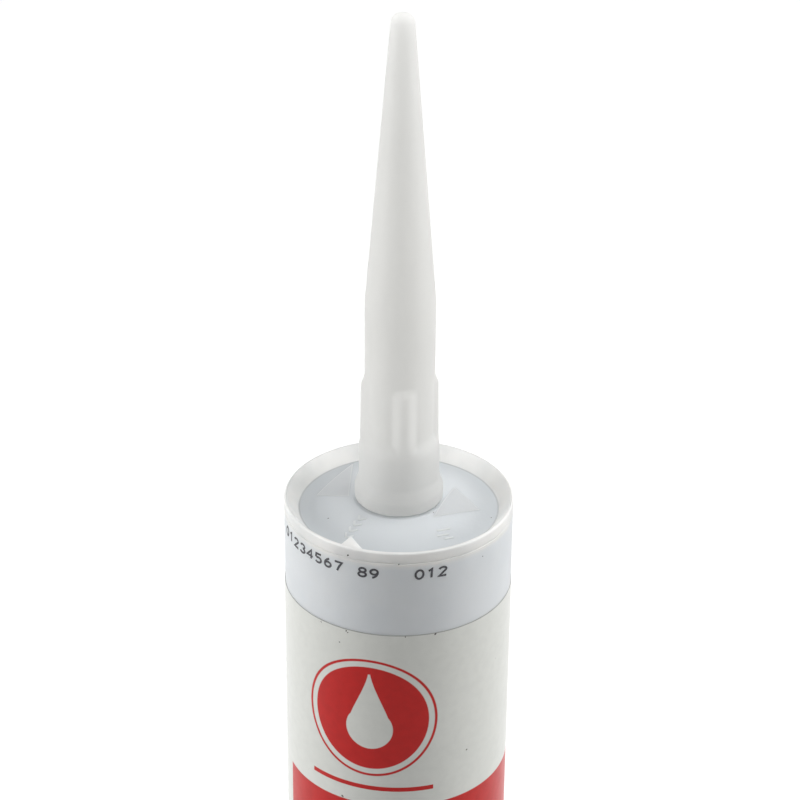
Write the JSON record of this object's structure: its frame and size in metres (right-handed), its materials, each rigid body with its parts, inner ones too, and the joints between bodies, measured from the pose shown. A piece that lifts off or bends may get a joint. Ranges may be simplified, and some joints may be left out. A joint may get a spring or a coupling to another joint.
{
  "type": "caulk tube",
  "caption": "Upright caulk cartridge: moulded barrel with sunk head, lift-off conical nozzle, sliding piston, fill and wrapped label.",
  "frame": {"origin": "centre of the rear rim, at the level the tube stands on", "axes": "+Z along the tube towards the nozzle; the front of the label faces -Y"},
  "size_m": [0.0492, 0.0492, 0.3224],
  "materials": {
    "barrel_plastic": "satin, slightly translucent white",
    "nozzle_plastic": "satin, milky and translucent",
    "piston_plastic": "satin white",
    "sealant_paste": "glossy paste",
    "label_film": "glossy warm white film with red fields"
  },
  "bodies": {
    "barrel": {"barrel": "barrel_plastic", "sealant": "sealant_paste", "label": "label_film"},
    "nozzle": {"nozzle": "nozzle_plastic"},
    "piston": {"piston": "piston_plastic"}
  },
  "joints": [
    {"name": "nozzle_lift", "type": "slide", "parent": "barrel", "child": "nozzle", "axis": [0, 0, 1], "range_m": [0, 0.03]},
    {"name": "piston_push", "type": "slide", "parent": "barrel", "child": "piston", "axis": [0, 0, 1], "range_m": [0, 0.1832], "deforming": ["sealant"]}
  ]
}
